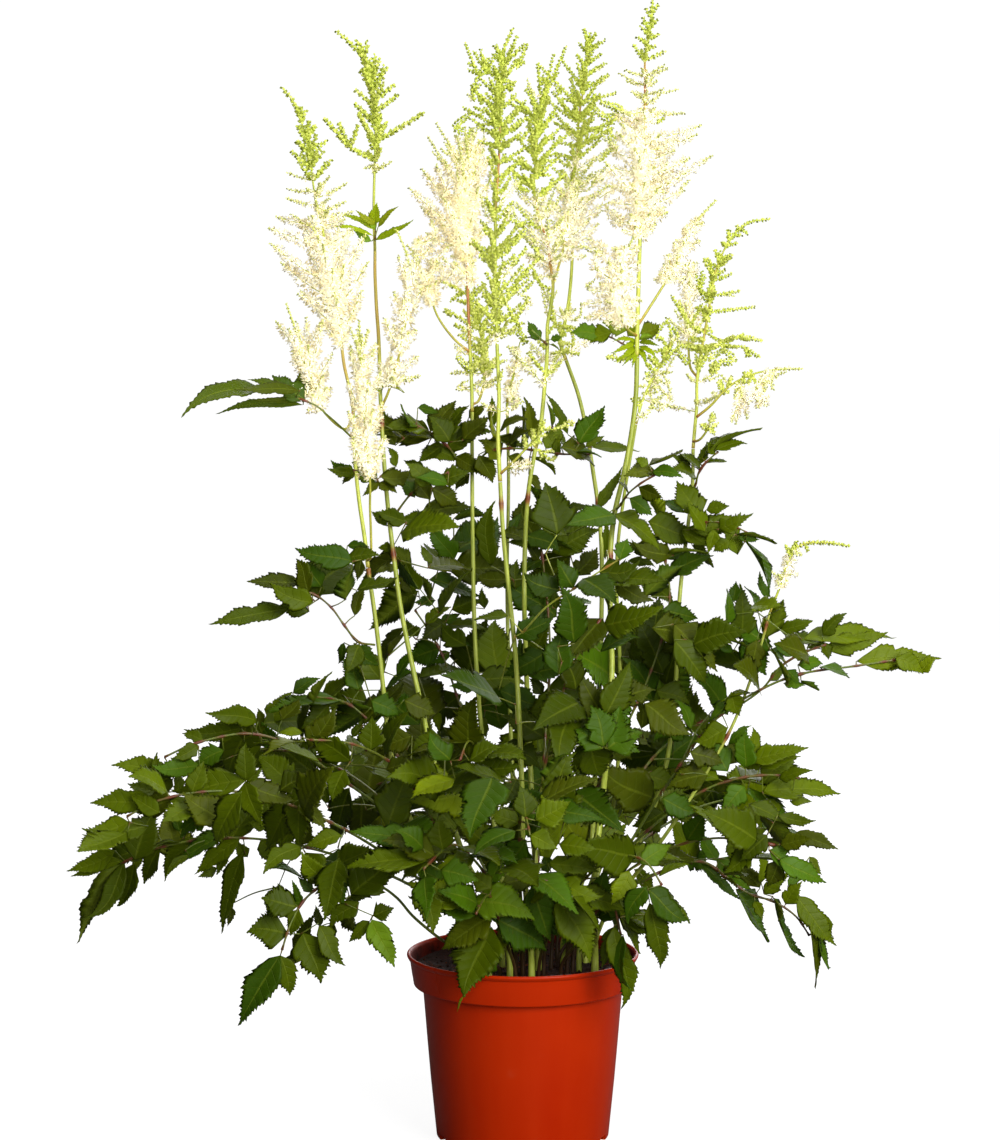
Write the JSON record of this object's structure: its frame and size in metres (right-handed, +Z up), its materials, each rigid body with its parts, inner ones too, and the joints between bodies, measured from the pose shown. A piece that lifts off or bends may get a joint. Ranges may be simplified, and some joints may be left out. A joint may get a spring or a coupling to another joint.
{
  "type": "potted astilbe",
  "caption": "Potted astilbe: upright stems with feathery cream plumes over divided, toothed leaves, in a round tapered nursery pot with a collar.",
  "frame": {"origin": "centre of the pot's underside, on the plane it rests on", "axes": "+Z up along the pot's axis and the stems, -Y to the front, +X to the viewer's right"},
  "size_m": [0.6336, 0.4969, 0.8297],
  "materials": {
    "pot_plastic": "glossy terracotta-red moulded plastic",
    "potting_soil": "dark, crumbly, fibrous potting mix, matte",
    "stem": "fresh yellow-green stalk, satin, with red-brown nodes",
    "plume_open": "soft, fluffy cream florets, matte",
    "plume_bud": "tiny green and cream buds on thin side branches, matte",
    "leaf": "living leaf, deep green with a soft gloss, paler midrib and veins"
  },
  "bodies": {
    "root": {"pot": "pot_plastic", "soil": "potting_soil", "flower_plume_a": "plume_open", "flower_plume_b": "plume_bud", "flower_plume_c": "plume_open", "flower_plume_d": "plume_bud", "flower_plume_e": "plume_bud", "flower_plume_f": "plume_bud", "flower_plume_g": "plume_open", "flower_plume_h": "plume_bud", "flower_plume_i": "plume_open", "flower_plume_j": "plume_open", "flower_plume_k": "plume_bud", "flower_stem_a": "stem", "flower_stem_b": "stem", "flower_stem_c": "stem", "flower_stem_d": "stem", "flower_stem_e": "stem", "flower_stem_f": "stem", "flower_stem_g": "stem", "flower_stem_h": "stem", "flower_stem_i": "stem", "flower_stem_j": "stem", "flower_stem_k": "stem", "leaf_back_left": "leaf", "leaf_back_mid": "leaf", "leaf_back_right": "leaf", "leaf_centre_left_tall": "leaf", "leaf_centre_right_tall": "leaf", "leaf_centre_tall": "leaf", "leaf_centre_tall_front": "leaf", "leaf_front_high": "leaf", "leaf_front_left": "leaf", "leaf_front_left_rim": "leaf", "leaf_front_mid": "leaf", "leaf_front_right": "leaf", "leaf_front_right_drop": "leaf", "leaf_front_right_rim": "leaf", "leaf_left_front_hang": "leaf", "leaf_left_low_a": "leaf", "leaf_left_low_b": "leaf", "leaf_left_low_c": "leaf", "leaf_left_low_d": "leaf", "leaf_left_slope": "leaf", "leaf_left_slope_front": "leaf", "leaf_right_low_a": "leaf", "leaf_right_low_b": "leaf", "leaf_right_low_c": "leaf", "leaf_right_low_d": "leaf", "leaf_right_up_a": "leaf", "leaf_right_up_b": "leaf", "leaf_stem_a_low": "leaf", "leaf_stem_b_mid": "leaf", "leaf_stem_b_right": "leaf", "leaf_stem_c_left": "leaf", "leaf_stem_c_right": "leaf", "leaf_stem_d_low": "leaf", "leaf_stem_g_mid": "leaf", "leaf_stem_i_mid": "leaf", "leaf_stem_i_top": "leaf"}
  },
  "joints": []
}
